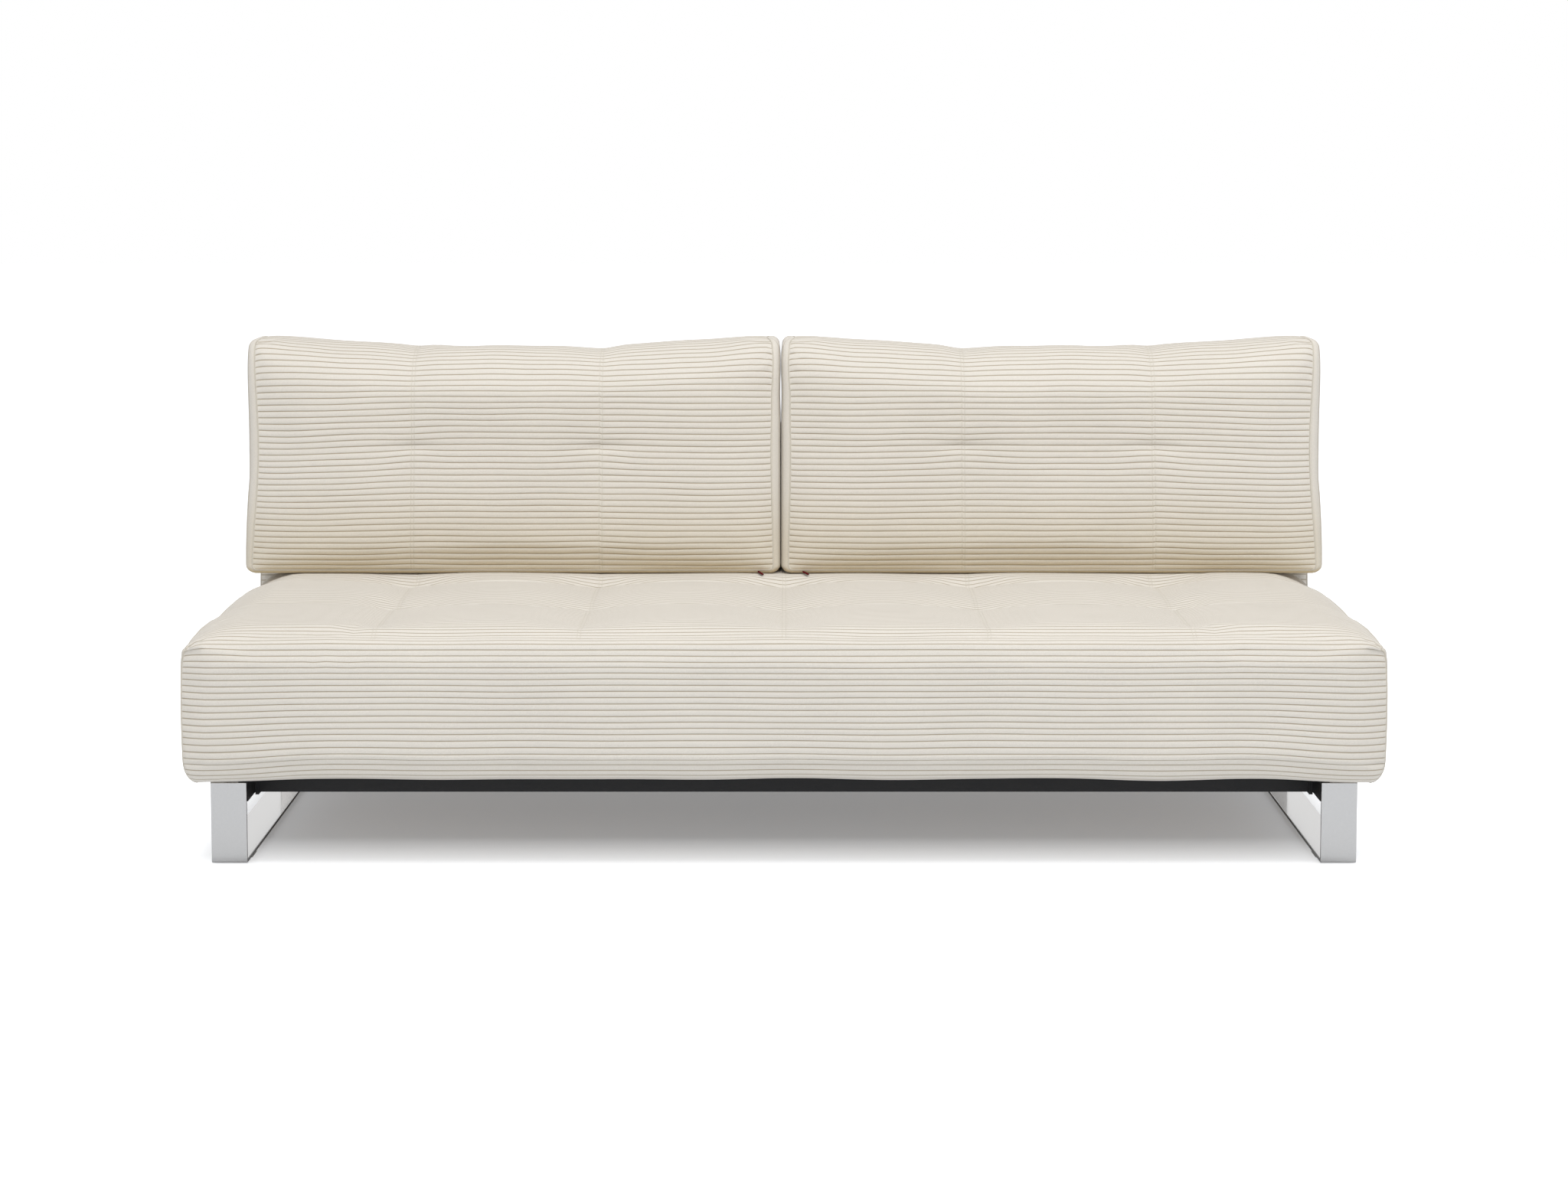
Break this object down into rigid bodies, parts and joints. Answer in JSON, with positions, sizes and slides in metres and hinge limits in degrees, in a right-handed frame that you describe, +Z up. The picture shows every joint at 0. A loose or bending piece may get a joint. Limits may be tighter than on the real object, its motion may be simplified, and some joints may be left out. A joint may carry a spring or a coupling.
{
  "type": "sofa bed",
  "caption": "Armless sofa bed: tufted corduroy seat on chrome sled legs, a back that folds flat rearwards, and loose back cushions.",
  "frame": {"origin": "centre of the bounding box at floor level, under the glides", "axes": "+X to the sitter's left along the sofa's width, -Y the front, +Z up"},
  "size_m": [2, 1.2417, 0.8464],
  "materials": {
    "corduroy": "matte",
    "foam": "matte",
    "spring_pocket": "matte",
    "lining": "matte",
    "chrome": "polished",
    "black_steel": "satin",
    "zinc_steel": "satin",
    "beech": "satin",
    "black_plastic": "matte",
    "clear_glide": "satin",
    "zip_red": "matte"
  },
  "bodies": {
    "base": {"seat_cover": "corduroy", "seat_lining": "lining", "seat_base_foam": "foam", "seat_pocket_springs": "spring_pocket", "seat_top_foam": "foam", "sled_left": "chrome", "sled_right": "chrome", "side_rail_left": "black_steel", "side_rail_right": "black_steel", "side_rail_plugs": "black_plastic", "front_rail": "black_steel", "rear_rail": "black_steel", "centre_beam": "black_steel", "rail_brackets": "black_steel", "glides": "clear_glide", "sled_bolts": "zinc_steel", "bracket_bolts": "zinc_steel", "hinge_plate_bolts": "zinc_steel", "seat_slats": "beech", "seat_slat_holders": "black_plastic", "hinge_plate_left": "black_steel", "hinge_plate_right": "black_steel", "ratchet_drums": "zinc_steel", "hinge_pins": "zinc_steel", "link_lower_pins": "zinc_steel"},
    "back": {"back_cover": "corduroy", "back_foam": "foam", "back_lining": "lining", "back_tube_left": "black_steel", "back_tube_right": "black_steel", "back_tube_top": "black_steel", "back_tube_bottom": "black_steel", "back_uprights": "black_steel", "back_slats": "beech", "back_slat_holders": "black_plastic", "back_hinge_plate_left": "black_steel", "back_hinge_plate_right": "black_steel", "back_plate_bolts": "zinc_steel", "rear_leg_lugs": "black_steel", "rear_leg_pins": "zinc_steel"},
    "rear_leg": {"rear_leg_post_left": "black_steel", "rear_leg_post_right": "black_steel", "rear_leg_crossbar": "black_steel", "rear_leg_feet": "black_plastic", "link_upper_pins": "zinc_steel"},
    "left_link": {"link_left": "black_steel"},
    "right_link": {"link_right": "black_steel"},
    "left_cushion": {"cushion_left_cover": "corduroy", "cushion_left_fill": "foam", "cushion_left_zip_tab": "zip_red"},
    "right_cushion": {"cushion_right_cover": "corduroy", "cushion_right_fill": "foam", "cushion_right_zip_tab": "zip_red"}
  },
  "joints": [
    {"name": "back_fold", "type": "hinge", "parent": "base", "child": "back", "pos_m": [0, 0.50908, 0.289], "axis": [-1, 0, 0], "range_deg": [0, 80]},
    {"name": "rear_leg_swing", "type": "hinge", "parent": "back", "child": "rear_leg", "pos_m": [0, 0.59292, 0.56869], "axis": [1, 0, 0], "range_deg": [0, 80]},
    {"name": "left_link_swing", "type": "hinge", "parent": "base", "child": "left_link", "pos_m": [0.895, 0.52908, 0.249], "axis": [-1, 0, 0], "range_deg": [0, 80]},
    {"name": "right_link_swing", "type": "hinge", "parent": "base", "child": "right_link", "pos_m": [-0.895, 0.52908, 0.249], "axis": [-1, 0, 0], "range_deg": [0, 80]},
    {"name": "left_cushion_lift", "type": "slide", "parent": "base", "child": "left_cushion", "axis": [0, 0.1736, 0.9848], "range_m": [0, 0.45]},
    {"name": "right_cushion_lift", "type": "slide", "parent": "base", "child": "right_cushion", "axis": [0, 0.1736, 0.9848], "range_m": [0, 0.45]}
  ],
  "couplings": [
    {"joint": "rear_leg_swing", "follows": "back_fold", "ratio": 1},
    {"joint": "left_link_swing", "follows": "back_fold", "ratio": 1},
    {"joint": "right_link_swing", "follows": "back_fold", "ratio": 1}
  ]
}
